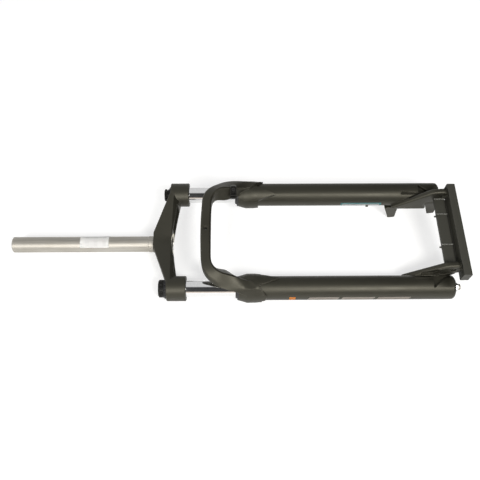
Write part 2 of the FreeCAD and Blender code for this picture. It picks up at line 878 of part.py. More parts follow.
def foot_bolt():
    head_bottom = washer_face - foot_bolt_head_height
    shank_r = foot_hole_r - 0.3
    socket_r = 3.4
    socket = 3.0
    return turned([
        (0, head_bottom + socket), (socket_r, head_bottom + socket), (socket_r, head_bottom),
        (foot_bolt_head_r, head_bottom), (foot_bolt_head_r, washer_face), (shank_r, washer_face),
        (shank_r, leg_floor + foot_bolt_thread - 2), (0, leg_floor + foot_bolt_thread - 2),
    ])


def hose_guide():
    """A moulded clip on its pad: a screwed ear at the outer end and an open saddle for the brake hose."""
    half_width = guide_width / 2
    half_length = guide_length / 2
    plate = front_prism([
        (-half_length, -half_width, guide_corner), (half_length, -half_width, guide_corner + 1),
        (half_length, half_width, guide_corner + 1), (-half_length, half_width, guide_corner),
    ], 0, guide_plate)
    saddle_y = -guide_length / 4
    hose_x = guide_plate + guide_hose_rise
    saddle = Part.makeCylinder(guide_saddle_r, guide_width - 2, vector(guide_plate, saddle_y, -half_width + 1))
    saddle = saddle.common(Part.makeBox(
        2 * guide_saddle_r, 3 * guide_saddle_r, guide_width,
        vector(0, saddle_y - 1.5 * guide_saddle_r, -half_width)))
    hose = Part.makeCylinder(guide_hose_r, guide_width, vector(hose_x, saddle_y, -half_width))
    mouth = Part.makeBox(
        2 * guide_saddle_r, guide_mouth, guide_width, vector(hose_x, saddle_y - guide_mouth / 2, -half_width))
    hole_start = vector(-1, guide_length / 4, 0)
    hole = Part.makeCylinder(guide_screw_r + fit, guide_plate + 2, hole_start, vector(1, 0, 0))
    return guide_frame(plate.fuse(saddle).cut([hose, mouth, hole]))


def hose_guide_screw():
    place = vector(guide_plate, guide_length / 4, 0)
    head = Part.makeCylinder(guide_screw_head_r, guide_screw_head, place, vector(1, 0, 0))
    shank = Part.makeCylinder(guide_screw_r, guide_plate + 6, place, vector(-1, 0, 0))
    head_top = vector(guide_plate + guide_screw_head, guide_length / 4, 0)
    socket = Part.makeCylinder(guide_socket_r, guide_socket, head_top, vector(-1, 0, 0))
    return guide_frame(head.fuse(shank).cut(socket))


def dropout_spacer():
    """The moulding that keeps the dropouts apart until a wheel is fitted: a hollow bar and a ribbed tray."""
    bar_top = axle_z - dropout_tip - spacer_clearance
    bar_bottom = bar_top - spacer_bar_height
    bar_front = axle_x + spacer_front
    bar_back = bar_front - spacer_bar_depth
    half = spacer_length / 2
    bar = side_prism([
        (bar_back, bar_top, 1), (bar_front, bar_top, 1), (bar_front, bar_bottom, 1), (bar_back, bar_bottom, 1),
    ], -half, half)
    hollow = Part.makeBox(
        spacer_bar_depth - spacer_wall, spacer_length - 2 * spacer_wall, spacer_bar_height - 2 * spacer_wall,
        vector(bar_back - 1, -half + spacer_wall, bar_bottom + spacer_wall))
    bar = bar.cut(hollow)
    inner = hub_half - spacer_clearance
    tray_front = axle_x - slot_r - spacer_clearance
    tray_back = tray_front - tray_depth
    tray_top = bar_top + tray_height
    panel_front = tray_front - tray_rib_depth
    panel_bottom = bar_top + tray_groove
    panel_back = panel_front - spacer_wall
    panel_height = tray_top - panel_bottom
    depth = panel_front - tray_back
    panel = Part.makeBox(spacer_wall, 2 * inner, panel_height, vector(panel_back, -inner, panel_bottom))
    top_wall = Part.makeBox(depth, 2 * inner, spacer_wall, vector(tray_back, -inner, tray_top - spacer_wall))
    shelf = Part.makeBox(depth, 2 * inner, spacer_wall, vector(tray_back, -inner, panel_bottom))
    neck = Part.makeBox(
        spacer_wall, 2 * inner, tray_groove + spacer_wall, vector(bar_back + spacer_wall, -inner, bar_top))
    pieces = [panel, top_wall, shelf, neck]
    for place in (1.0,) + tray_rib_places + (-1.0,):
        rib_y = place * (inner - tray_rib / 2)
        pieces.append(Part.makeBox(
            tray_rib_depth + spacer_wall, tray_rib, panel_height,
            vector(panel_back, rib_y - tray_rib / 2, panel_bottom)))
    for place in tray_rib_places:
        nub_y = place * inner - 2 * tray_nub_r
        pieces.append(Part.makeCylinder(
            tray_nub_r, tray_nub, vector(panel_front - 2 * tray_nub_r, nub_y, tray_top)))
    tongue_r = slot_r - spacer_clearance
    tongue_top = axle_z - slot_r - 2 * spacer_clearance
    for side in (1, -1):
        start = hub_half + spacer_clearance if side > 0 else -dropout_outer + spacer_clearance
        pieces.append(Part.makeBox(
            2 * tongue_r, dropout_thickness - 2 * spacer_clearance, tongue_top - bar_top,
            vector(axle_x - tongue_r, start, bar_top)))
    return bar.fuse(pieces).removeSplitter()


def build():
    """Every piece of the fork, by name."""
    pieces = {
        "steerer_tube": steerer_tube(),
        "crown": crown(),
        "lower_casting": lower_casting(),
        "spring_top_cap": at_leg(top_cap(spring_cap_od, spring_cap_height, spindle_r), 1),
        "preload_knob": at_leg(preload_knob(), 1),
        "preload_spindle": at_leg(preload_spindle(), 1),
        "preload_plunger": at_leg(preload_plunger(), 1),
        "main_spring": at_leg(main_spring(), 1),
        "spring_perch": at_leg(spring_perch(), 1),
        "compression_rod": at_leg(compression_rod(), 1),
        "spring_end_guide": at_leg(spring_end_guide(), 1),
        "top_out_bumper": at_leg(top_out_bumper(), 1),
        "bottom_out_bumper": at_leg(bottom_out_bumper(), 1),
        "foot_bolt_left": at_leg(foot_bolt(), 1),
        "damper_top_cap": at_leg(damper_top_cap(), -1),
        "lockout_knob": at_leg(lockout_knob(), -1),
        "lockout_spindle": at_leg(lockout_spindle(), -1),
        "damper_tube": at_leg(damper_tube(), -1),
        "damper_seal_head": at_leg(damper_seal_head(), -1),
        "damper_piston": at_leg(damper_piston(), -1),
        "damper_shaft": at_leg(damper_shaft(), -1),
        "foot_nut_right": at_leg(foot_nut(), -1),
        "hose_guide": hose_guide(),
        "hose_guide_screw": hose_guide_screw(),
        "dropout_spacer": dropout_spacer(),
    }
    for name, side in (("left", 1), ("right", -1)):
        pieces["stanchion_" + name] = at_leg(stanchion(), side)
        pieces["wiper_seal_" + name] = at_leg(wiper_seal(), side)
        pieces["foam_ring_" + name] = at_leg(foam_ring(), side)
        pieces["upper_bushing_" + name] = at_leg(bushing(bush_top), side)
        pieces["lower_bushing_" + name] = at_leg(bushing(lower_bush_top), side)
        pieces["foot_washer_" + name] = at_leg(foot_washer(), side)
    return pieces


os.makedirs("parts", exist_ok=True)
for name, shape in build().items():
    shape.exportStep("parts/" + name + ".step")
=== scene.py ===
import json
import math

import bmesh
import bpy
from mathutils import Matrix, Vector
from mathutils.bvhtree import BVHTree

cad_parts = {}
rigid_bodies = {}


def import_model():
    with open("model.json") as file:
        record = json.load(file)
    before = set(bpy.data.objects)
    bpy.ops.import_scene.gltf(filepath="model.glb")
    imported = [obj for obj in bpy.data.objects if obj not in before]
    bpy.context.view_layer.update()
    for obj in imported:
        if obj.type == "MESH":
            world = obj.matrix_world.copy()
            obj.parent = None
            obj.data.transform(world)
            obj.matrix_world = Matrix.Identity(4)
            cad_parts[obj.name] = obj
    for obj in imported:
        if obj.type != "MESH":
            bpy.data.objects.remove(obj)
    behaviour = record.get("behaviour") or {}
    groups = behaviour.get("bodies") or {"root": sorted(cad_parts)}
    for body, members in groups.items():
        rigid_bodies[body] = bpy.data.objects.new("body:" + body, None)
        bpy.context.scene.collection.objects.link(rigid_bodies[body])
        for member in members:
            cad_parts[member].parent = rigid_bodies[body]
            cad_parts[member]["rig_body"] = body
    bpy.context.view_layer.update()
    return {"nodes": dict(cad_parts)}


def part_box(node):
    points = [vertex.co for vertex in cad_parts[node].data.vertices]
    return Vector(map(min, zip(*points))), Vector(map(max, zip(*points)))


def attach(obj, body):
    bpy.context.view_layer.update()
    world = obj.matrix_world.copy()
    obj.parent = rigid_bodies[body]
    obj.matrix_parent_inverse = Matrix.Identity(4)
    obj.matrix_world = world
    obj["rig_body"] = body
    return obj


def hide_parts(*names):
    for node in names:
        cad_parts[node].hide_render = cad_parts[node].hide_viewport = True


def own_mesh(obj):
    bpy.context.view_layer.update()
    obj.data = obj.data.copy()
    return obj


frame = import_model()

# Steerer tube
# A bare steel tube with a nickel-grey skin, drawn to size, so fine streaks run along it.
# It is pressed into the crown, and the collar at its root seats the lower headset bearing.
MM = 0.001
steerer_r = 14.3 * MM
steerer_bore_r = 12.0 * MM
steerer_end_bevel = 1.0 * MM
race_seat_r = 15.0 * MM
race_seat_top = 9.0 * MM


def add_node(tree, kind, values=None, **settings):
    """A new node in a material or group, with its socket values and its settings."""
    node = tree.nodes.new(kind)
    for key, value in settings.items():
        setattr(node, key, value)
    for socket, value in (values or {}).items():
        node.inputs[socket].default_value = value
    return node


def join(tree, source, output, target, socket):
    """A link from one node's output to another node's input."""
    tree.links.new(source.outputs[output], target.inputs[socket])


def new_group(name, inputs, outputs):
    """An empty shader node group with named sockets: (name, kind, default) in and (name, kind) out."""
    group = bpy.data.node_groups.new(name, "ShaderNodeTree")
    for label, kind, default in inputs:
        socket = group.interface.new_socket(label, in_out="INPUT", socket_type=kind)
        socket.default_value = default
    for label, kind in outputs:
        group.interface.new_socket(label, in_out="OUTPUT", socket_type=kind)
    return group, add_node(group, "NodeGroupInput"), add_node(group, "NodeGroupOutput")


def make_grain_group():
    """Fine mottling in the object's own coordinates, stretched by Along, as worked surfaces show it."""
    group, entry, leave = new_group(
        "surface_grain",
        [("Scale", "NodeSocketFloat", 500.0), ("Along", "NodeSocketVector", (1.0, 1.0, 1.0)),
         ("Low", "NodeSocketFloat", 0.3), ("High", "NodeSocketFloat", 0.7)],
        [("Mask", "NodeSocketFloat")])
    place = add_node(group, "ShaderNodeTexCoord")
    stretch = add_node(group, "ShaderNodeVectorMath", operation="MULTIPLY")
    noise = add_node(group, "ShaderNodeTexNoise", {"Detail": 4.0, "Roughness": 0.6})
    spread = add_node(group, "ShaderNodeMapRange")
    join(group, place, "Object", stretch, 0)
    join(group, entry, "Along", stretch, 1)
    join(group, stretch, "Vector", noise, "Vector")
    join(group, entry, "Scale", noise, "Scale")
    join(group, noise, "Fac", spread, "Value")
    join(group, entry, "Low", spread, "From Min")
    join(group, entry, "High", spread, "From Max")
    join(group, spread, "Result", leave, "Mask")
    return group


grain_group = make_grain_group()


def new_finish(name, metallic=0.0, roughness=0.5):
    """A new material, its node tree and its shader."""
    material = bpy.data.materials.new(name)
    material.use_nodes = True
    shader = material.node_tree.nodes["Principled BSDF"]
    shader.inputs["Metallic"].default_value = metallic
    shader.inputs["Roughness"].default_value = roughness
    return material, material.node_tree, shader


def grain(tree, scale, along=(1.0, 1.0, 1.0)):
    """The shared grain at one scale, drawn out where an axis has a low value."""
    node = add_node(tree, "ShaderNodeGroup", node_tree=grain_group)
    node.inputs["Scale"].default_value = scale
    node.inputs["Along"].default_value = along
    return node


def two_colours(tree, mask, output, first, second):
    """A colour that goes from first to second with a mask."""
    mix = add_node(tree, "ShaderNodeMix", {"A": (*first, 1.0), "B": (*second, 1.0)}, data_type="RGBA")
    join(tree, mask, output, mix, "Factor")
    return mix


def between(tree, mask, output, low, high):
    """A value that goes from low to high with a mask."""
    spread = add_node(tree, "ShaderNodeMapRange", {"To Min": low, "To Max": high})
    join(tree, mask, output, spread, "Value")
    return spread


def bump(tree, shader, mask, output, depth, strength, base=None):
    """Shallow relief from a mask, over a softened normal where there is one."""
    relief = add_node(tree, "ShaderNodeBump", {"Distance": depth, "Strength": strength})
    join(tree, mask, output, relief, "Height")
    if base is not None:
        join(tree, base, "Normal", relief, "Normal")
    join(tree, relief, "Normal", shader, "Normal")


def make_drawn_steel():
    """Bare drawn steel: long fine streaks, and faint stains in clouds."""
    material, tree, shader = new_finish("drawn_steel", metallic=1.0)
    streaks = grain(tree, scale=420.0, along=(1.0, 1.0, 0.02))
    clouds = grain(tree, scale=30.0, along=(1.0, 1.0, 0.5))
    tone = two_colours(tree, streaks, "Mask", first=(0.36, 0.347, 0.32), second=(0.57, 0.55, 0.51))
    stain_colour = (0.88, 0.86, 0.82, 1.0)
    stain = add_node(tree, "ShaderNodeMix", {"B": stain_colour}, data_type="RGBA", blend_type="MULTIPLY")
    join(tree, clouds, "Mask", stain, "Factor")
    join(tree, tone, "Result", stain, "A")
    join(tree, stain, "Result", shader, "Base Color")
    rough = between(tree, streaks, "Mask", low=0.48, high=0.60)
    join(tree, rough, "Result", shader, "Roughness")
    bump(tree, shader, streaks, "Mask", depth=0.02 * MM, strength=0.6)
    return material


def shade_soft(mesh, edge_degrees=30.0):
    """Soft shading across curved faces, with crisp edges where faces meet at a sharper angle."""
    mesh.polygons.foreach_set("use_smooth", [True] * len(mesh.polygons))
    mesh.set_sharp_from_angle(angle=math.radians(edge_degrees))


def finished_mesh(work, name):
    """A mesh from the work in hand, with its faces outward and its curves shaded softly."""
    bmesh.ops.recalc_face_normals(work, faces=work.faces)
    mesh = bpy.data.meshes.new(name)
    work.to_mesh(mesh)
    work.free()
    shade_soft(mesh)
    return mesh


def add_piece(mesh, name, body, finish):
    """A finished piece of the fork, riding on its body."""
    piece = bpy.data.objects.new(name, mesh)
    bpy.context.scene.collection.objects.link(piece)
    mesh.materials.clear()
    mesh.materials.append(finish)
    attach(piece, body)
    return piece


def turned_mesh(name, outline, axis, steps=96):
    """A ring turned about a line along Z through axis (x, y), from a closed outline of (radius, height)."""
    work = bmesh.new()
    rings = []
    for step in range(steps):
        angle = 2 * math.pi * step / steps
        ring = []
        for r, z in outline:
            ring.append(work.verts.new((axis[0] + r * math.cos(angle), axis[1] + r * math.sin(angle), z)))
        rings.append(ring)
    for index, ring in enumerate(rings):
        following = rings[(index + 1) % steps]
        for corner in range(len(outline)):
            onward = (corner + 1) % len(outline)
            work.faces.new((ring[corner], following[corner], following[onward], ring[onward]))
    return finished_mesh(work, name)


drawn_steel = make_drawn_steel()
steerer_low, steerer_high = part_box("steerer_tube")
steerer_outline = [
    (steerer_bore_r, steerer_low.z), (steerer_r, steerer_low.z), (steerer_r, 0.0), (race_seat_r, 0.0),
    (race_seat_r, race_seat_top - steerer_end_bevel), (steerer_r, race_seat_top),
    (steerer_r, steerer_high.z - steerer_end_bevel), (steerer_r - steerer_end_bevel, steerer_high.z),
    (steerer_bore_r, steerer_high.z),
]
steerer_mesh = turned_mesh("steerer", steerer_outline, axis=(0.0, 0.0))
steerer = add_piece(steerer_mesh, "steerer", "upper", drawn_steel)
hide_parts("steerer_tube")

# Paper label
# A white paper label stuck round part of the steerer by hand, so it sits a little askew and one corner lifts.
# It is left blank but for faint plain panels.
label_bottom = 81.0 * MM
label_top = 133.1 * MM
label_from = math.radians(-52.0)
label_turn = math.radians(116.0)
label_skew = math.radians(1.2)
label_paper = 0.12 * MM
label_gap = 0.02 * MM
label_lift = 0.9 * MM
label_corner = 0.45
label_rows = 24
label_columns = 36


def make_label_mesh():
    """A thin sheet bent round the tube, with its face in the first UV map."""
    work = bmesh.new()
    places = work.loops.layers.uv.new("label")
    grid = []
    shares = {}
    for row in range(label_rows + 1):
        line = []
        for column in range(label_columns + 1):
            along = row / label_rows
            round_share = column / label_columns
            angle = label_from + label_turn * round_share
            height = label_bottom + (label_top - label_bottom) * along
            height += (round_share - 0.5) * label_turn * steerer_r * math.tan(label_skew)
            corner = max(0.0, round_share + (1 - along) - (2 - label_corner)) / label_corner
            radius = steerer_r + label_gap + label_lift * corner ** 2
            vertex = work.verts.new((radius * math.cos(angle), radius * math.sin(angle), height))
            shares[vertex] = (round_share, along)
            line.append(vertex)
        grid.append(line)
    for low, high in zip(grid, grid[1:]):
        for left, right, above_right, above_left in zip(low, low[1:], high[1:], high):
            face = work.faces.new((left, right, above_right, above_left))
            for loop in face.loops:
                loop[places].uv = shares[loop.vert]
    bmesh.ops.solidify(work, geom=work.faces[:], thickness=-label_paper)
    return finished_mesh(work, "paper_label")


def make_label_paper():
    """White paper with a fine fibre, and panels a shade darker in two columns."""
    material, tree, shader = new_finish("label_paper", roughness=0.7)
    place = add_node(tree, "ShaderNodeUVMap", uv_map="label")
    fibre = grain(tree, scale=2500.0)
    panels = add_node(tree, "ShaderNodeTexBrick", {
        "Scale": 1.0, "Mortar Size": 0.09, "Brick Width": 0.55, "Row Height": 0.30, "Mortar Smooth": 0.1,
        "Color1": (0.93, 0.93, 0.93, 1.0), "Color2": (0.95, 0.95, 0.95, 1.0),
        "Mortar": (0.99, 0.99, 0.99, 1.0),
    }, offset=0.0)
    dirt_colour = (0.96, 0.96, 0.95, 1.0)
    dirt = add_node(tree, "ShaderNodeMix", {"B": dirt_colour}, data_type="RGBA", blend_type="MULTIPLY")
    join(tree, place, "UV", panels, "Vector")
    join(tree, fibre, "Mask", dirt, "Factor")
    join(tree, panels, "Color", dirt, "A")
    join(tree, dirt, "Result", shader, "Base Color")
    bump(tree, shader, fibre, "Mask", depth=0.03 * MM, strength=0.4)
    return material


add_piece(make_label_mesh(), "paper_label", "upper", make_label_paper())

# Crown
# A forged aluminium bridge that ties the steerer to both stanchions, painted matt black.
# Its arms are flat in front, with a facet on their lower edge, and hollow underneath.
# The turned face round the steerer's lower end is left bare.
paint_shine = 0.7
paint_tint = (1.0, 0.955, 0.79, 1.0)
paint_edge_width = 1.1 * MM
paint_edge_wear_and_highlight = 2.2
hub_r = 19.2 * MM
hub_bottom = -32.6 * MM
merge_gap = 0.002 * MM


def make_edge_group():
    """Where edges are rounded: a softened normal, and a mask that is high along edges, for wear and a painted
    highlight.
    """
    group, entry, leave = new_group(
        "rubbed_and_lit_edges",
        [("Radius", "NodeSocketFloat", 0.001), ("Strength", "NodeSocketFloat", 4.0)],
        [("Mask", "NodeSocketFloat"), ("Normal", "NodeSocketVector")])
    soft = add_node(group, "ShaderNodeBevel", samples=6)
    flat = add_node(group, "ShaderNodeNewGeometry")
    across = add_node(group, "ShaderNodeVectorMath", operation="DOT_PRODUCT")
    away = add_node(group, "ShaderNodeMath", {0: 1.0}, operation="SUBTRACT")
    strong = add_node(group, "ShaderNodeMath", operation="MULTIPLY", use_clamp=True)
    join(group, entry, "Radius", soft, "Radius")
    join(group, soft, "Normal", across, 0)
    join(group, flat, "Normal", across, 1)
    join(group, across, "Value", away, 1)
    join(group, away, "Value", strong, 0)
    join(group, entry, "Strength", strong, 1)
    join(group, strong, "Value", leave, "Mask")
    join(group, soft, "Normal", leave, "Normal")
    return group


edge_group = make_edge_group()


def rubbed_and_lit_edges(tree, width, strength):
    """The shared edge mask for wear and a painted highlight, for edges rounded to a width."""
    node = add_node(tree, "ShaderNodeGroup", node_tree=edge_group)
    node.inputs["Radius"].default_value = width
    node.inputs["Strength"].default_value = strength
    return node


def make_black_paint(name, dark, light, edge, speck):
    """Matt black paint: a fine orange-peel bump, cloudy tone, and pale edges, where the coat wears thin and
    where a highlight is painted.
    """
    material, tree, shader = new_finish(name)
    shader.inputs["Specular IOR Level"].default_value = paint_shine
    shader.inputs["Specular Tint"].default_value = paint_tint
    peel = grain(tree, scale=speck)
    clouds = grain(tree, scale=22.0)
    edges = rubbed_and_lit_edges(tree, paint_edge_width, paint_edge_wear_and_highlight)
    tone = two_colours(tree, clouds, "Mask", first=dark, second=light)
    # The edge colour is partly wear and partly a painted highlight along the rounded edges.
    worn_and_lit = add_node(tree, "ShaderNodeMix", {"B": (*edge, 1.0)}, data_type="RGBA")
    patchy = add_node(tree, "ShaderNodeMath", operation="MULTIPLY")
    join(tree, edges, "Mask", patchy, 0)
    join(tree, peel, "Mask", patchy, 1)
    join(tree, patchy, "Value", worn_and_lit, "Factor")
    join(tree, tone, "Result", worn_and_lit, "A")
    join(tree, worn_and_lit, "Result", shader, "Base Color")
    rough = between(tree, clouds, "Mask", low=0.45, high=0.53)
    join(tree, rough, "Result", shader, "Roughness")
    bump(tree, shader, peel, "Mask", depth=0.05 * MM, strength=0.35, base=edges)
    return material, tree, shader, worn_and_lit, rough


def bare_below(tree, shader, colour, rough, radius, height):
    """Leaves turned metal bare inside a radius about the steerer and below a height."""
    place = add_node(tree, "ShaderNodeTexCoord")
    apart = add_node(tree, "ShaderNodeSeparateXYZ")
    flat = add_node(tree, "ShaderNodeVectorMath", {1: (1.0, 1.0, 0.0)}, operation="MULTIPLY")
    reach = add_node(tree, "ShaderNodeVectorMath", operation="LENGTH")
    within = add_node(tree, "ShaderNodeMath", {1: radius}, operation="LESS_THAN")
    under = add_node(tree, "ShaderNodeMath", {1: height}, operation="LESS_THAN")
    bare = add_node(tree, "ShaderNodeMath", operation="MULTIPLY")
    rings = grain(tree, scale=900.0, along=(0.2, 0.2, 1.0))
    metal = two_colours(tree, rings, "Mask", first=(0.55, 0.54, 0.52), second=(0.70, 0.69, 0.66))
    mix = add_node(tree, "ShaderNodeMix", data_type="RGBA")
    bare_roughness = 0.3
    gloss = add_node(tree, "ShaderNodeMix", {"B": bare_roughness}, data_type="FLOAT")
    join(tree, place, "Object", apart, "Vector")
    join(tree, place, "Object", flat, 0)
    join(tree, flat, "Vector", reach, 0)
    join(tree, reach, "Value", within, 0)
    join(tree, apart, "Z", under, 0)
    join(tree, within, "Value", bare, 0)
    join(tree, under, "Value", bare, 1)
    join(tree, bare, "Value", mix, "Factor")
    join(tree, colour, "Result", mix, "A")
    join(tree, metal, "Result", mix, "B")
    join(tree, mix, "Result", shader, "Base Color")
    join(tree, bare, "Value", gloss, "Factor")
    join(tree, rough, "Result", gloss, "A")
    join(tree, gloss, "Result", shader, "Roughness")
    join(tree, bare, "Value", shader, "Metallic")


def soften(node, finish, edge_degrees=30.0, reshape=None):
    """A merged copy of a CAD node with softly shaded curves, which stands for the node."""
    solid = frame["nodes"][node]
    work = bmesh.new()
    work.from_mesh(solid.data)
    bmesh.ops.remove_doubles(work, verts=work.verts, dist=merge_gap)
    if reshape is not None:
        reshape(work)
    mesh = bpy.data.meshes.new(node + "_surface")
    work.to_mesh(mesh)
    work.free()
    for layer in ("custom_normal", "sharp_edge"):
        if layer in mesh.attributes:
            mesh.attributes.remove(mesh.attributes[layer])
    shade_soft(mesh, edge_degrees)
    piece = add_piece(mesh, node + "_surface", solid["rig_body"], finish)
    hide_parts(node)


# The edge colour here is wear together with a painted highlight on the crown's edges.
crown_paint, crown_tree, crown_shader, crown_tone, crown_gloss = make_black_paint(
    "crown_paint", dark=(0.0055, 0.0055, 0.0035), light=(0.0085, 0.0083, 0.0055), edge=(0.11, 0.105, 0.09),
    speck=1500.0)
bare_below(crown_tree, crown_shader, crown_tone, crown_gloss, radius=hub_r, height=hub_bottom)
soften("crown", crown_paint, edge_degrees=24.0)

# Stanchions
# Two steel tubes, ground, hard-chromed and polished, which slide in the lower legs.
# They are pressed into the crown from below.
stanchion_low, stanchion_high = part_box("stanchion_left")
leg_x = (stanchion_low.x + stanchion_high.x) / 2
leg_y = (stanchion_low.y + stanchion_high.y) / 2
left_leg = (leg_x, leg_y)
right_leg = (leg_x, -leg_y)
stanchion_r = 15.0 * MM
stanchion_bore_r = 13.0 * MM
stanchion_steps = 128


def make_chrome():
    """Polished hard chrome with fine grinding rings."""
    material, tree, shader = new_finish("hard_chrome", metallic=1.0)
    polish = grain(tree, scale=900.0, along=(0.3, 0.3, 1.0))
    tone = two_colours(tree, polish, "Mask", first=(0.74, 0.74, 0.74), second=(0.80, 0.80, 0.80))
    join(tree, tone, "Result", shader, "Base Color")
    rough = between(tree, polish, "Mask", low=0.05, high=0.09)
    join(tree, rough, "Result", shader, "Roughness")
    return material


hard_chrome = make_chrome()
for side, axis in (("left", left_leg), ("right", right_leg)):
    low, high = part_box("stanchion_" + side)
    tube_outline = [
        (stanchion_bore_r, low.z), (stanchion_r, low.z), (stanchion_r, high.z), (stanchion_bore_r, high.z),
    ]
    tube_name = "stanchion_tube_" + side
    tube_mesh = turned_mesh(tube_name, tube_outline, axis, stanchion_steps)
    tube = add_piece(tube_mesh, tube_name, "upper", hard_chrome)
    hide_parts("stanchion_" + side)

# Lower legs
# One magnesium casting, painted matt black: two legs, the arch over the tyre, dropouts and brake posts.
# The bores are machined for the seals and bushings, and the casting's own edges stay soft.
# The outer edge of the arch is one long curve from leg to leg.
arch_crest = -88.9 * MM
arch_fall = 1.44 * MM
arch_half_span = 55.0 * MM
arch_middle_x = 52.0 * MM
arch_rim_low = -93.6 * MM
arch_rim_high = -90.0 * MM


def fair_arch(work):
    """Brings the arch's outer edge to one long curve, and leaves the rest of the casting as it is."""
    surface = BVHTree.FromBMesh(work)
    down = Vector((0.0, 0.0, -1.0))
    for vertex in work.verts:
        place = vertex.co
        if abs(place.y) > arch_half_span or place.z < arch_rim_low:
            continue
        above = Vector((arch_middle_x, place.y, 0.0))
        outer = surface.ray_cast(above, down)[0]
        wanted = arch_crest - arch_fall * (place.y / arch_half_span) ** 2
        share = min(1.0, (place.z - arch_rim_low) / (arch_rim_high - arch_rim_low))
        place.z += (wanted - outer.z) * share


# The edge colour here is wear together with a painted highlight on the casting's edges.
cast_paint = make_black_paint(
    "cast_paint", dark=(0.0050, 0.0050, 0.0030), light=(0.0080, 0.0076, 0.0048), edge=(0.12, 0.115, 0.10),
    speck=1100.0)[0]
soften("lower_casting", cast_paint, edge_degrees=26.0, reshape=fair_arch)

# Dropout webs
# A short web of the same casting on each side closes the gap between the dropout's arm and the leg's foot.
# It fills the outer two thirds of the arm's depth, and it is painted with the rest of the legs.
web_inner = 71.0 * MM
web_outer = 78.4 * MM
web_outline = [
    (27.0 * MM, -505.0 * MM), (29.0 * MM, -524.0 * MM), (36.0 * MM, -530.0 * MM), (40.0 * MM, -531.0 * MM),
    (38.0 * MM, -518.0 * MM), (28.0 * MM, -501.0 * MM),
]


def plate_mesh(name, outline, y_from, y_to):
    """A flat plate between two levels of Y, from an outline of (x, z) points."""
    work = bmesh.new()
    near = [work.verts.new((x, y_from, z)) for x, z in outline]
    far = [work.verts.new((x, y_to, z)) for x, z in outline]
    work.faces.new(near)
    work.faces.new(far)
    for index in range(len(outline)):
        onward = (index + 1) % len(outline)
        work.faces.new((near[index], near[onward], far[onward], far[index]))
    return finished_mesh(work, name)


for side, turn in (("left", 1.0), ("right", -1.0)):
    web_name = "dropout_web_" + side
    web_mesh = plate_mesh(web_name, web_outline, turn * web_inner, turn * web_outer)
    add_piece(web_mesh, web_name, "lowers", cast_paint)

# Leg stripes and blank sticker
# Thin printed film stuck on the legs: three plain dashes and an orange band on each leg's outer side,
# and a plain pale sticker with a teal border on the left leg's inner side.
leg_r = 21.0 * MM
film = 0.12 * MM
film_columns = 16
stripe_from = 74.0
stripe_to = 97.0
stripe_slant = 4.0 * MM
stripe_ends = ((-330.0 * MM, -278.0 * MM), (-392.0 * MM, -336.0 * MM), (-454.0 * MM, -398.0 * MM))
band_from = 72.0
band_to = 104.0
band_bottom = -254.0 * MM
band_top = -243.0 * MM
sticker_from = -160.0
sticker_to = -80.0
sticker_bottom = -425.0 * MM
sticker_top = -349.0 * MM
panel_from = -156.0
panel_to = -87.0
panel_bottom = -422.0 * MM
panel_top = -352.0 * MM


def add_film(name, finish, axis, degrees_from, degrees_to, bottom, top, slant=0.0, lift=0.0):
    """A thin patch of film round a leg, between two angles and two heights, with its ends cut at a slant."""
    work = bmesh.new()
    radius = leg_r + film / 4 + lift
    angle_from = math.radians(degrees_from)
    angle_to = math.radians(degrees_to)
    low = []
    high = []
    for column in range(film_columns + 1):
        share = column / film_columns
        angle = angle_from + (angle_to - angle_from) * share
        x = axis[0] + radius * math.cos(angle)
        y = axis[1] + radius * math.sin(angle)
        low.append(work.verts.new((x, y, bottom + slant * share)))
        high.append(work.verts.new((x, y, top + slant * share)))
    for index in range(film_columns):
        work.faces.new((low[index], low[index + 1], high[index + 1], high[index]))
    bmesh.ops.solidify(work, geom=work.faces[:], thickness=-film)
    add_piece(finished_mesh(work, name), name, "lowers", finish)


def make_film(name, first, second, roughness):
    """Printed film: the print's fine dots show in its tone and its gloss."""
    material, tree, shader = new_finish(name)
    print_dots = grain(tree, scale=1800.0)
    tone = two_colours(tree, print_dots, "Mask", first, second)
    join(tree, tone, "Result", shader, "Base Color")
    uneven = 0.06
    rough = between(tree, print_dots, "Mask", low=roughness - uneven, high=roughness + uneven)
    join(tree, rough, "Result", shader, "Roughness")
    bump(tree, shader, print_dots, "Mask", depth=0.02 * MM, strength=0.3)
    return material


grey_film = make_film("grey_film", (0.40, 0.355, 0.31), (0.46, 0.41, 0.36), roughness=0.5)
orange_film = make_film("orange_film", (0.80, 0.25, 0.03), (0.88, 0.30, 0.04), roughness=0.4)
sticker_film = make_film("sticker_film", (0.07, 0.30, 0.32), (0.10, 0.36, 0.37), roughness=0.25)
pale_film = make_film("pale_film", (0.50, 0.56, 0.57), (0.58, 0.63, 0.64), roughness=0.3)
for side, axis, turn in (("left", left_leg, 1.0), ("right", right_leg, -1.0)):
    for number, (bottom, top) in enumerate(stripe_ends):
        stripe_name = "leg_stripe_%s_%d" % (side, number + 1)
        add_film(stripe_name, grey_film, axis, turn * stripe_from, turn * stripe_to, bottom, top,
                 slant=stripe_slant)
    add_film("leg_band_" + side, orange_film, axis, turn * band_from, turn * band_to, band_bottom, band_top)
add_film("leg_sticker", sticker_film, left_leg, sticker_from, sticker_to, sticker_bottom, sticker_top)
add_film("leg_sticker_panel", pale_film, left_leg, panel_from, panel_to, panel_bottom, panel_top,
         lift=film / 2)

# Seals and bushings
# A rubber wiper with a thin lip is pressed in each leg's top.
# Under it are an oiled foam ring and two lined bushings, which the stanchion slides in.


def make_rubber():
    """Matt black rubber with a little dust."""
    material, tree, shader = new_finish("wiper_rubber")
    dust = grain(tree, scale=260.0)
    tone = two_colours(tree, dust, "Mask", first=(0.016, 0.016, 0.016), second=(0.030, 0.029, 0.028))
    join(tree, tone, "Result", shader, "Base Color")
    rough = between(tree, dust, "Mask", low=0.5, high=0.68)
    join(tree, rough, "Result", shader, "Roughness")
    bump(tree, shader, dust, "Mask", depth=0.03 * MM, strength=0.4)
    return material


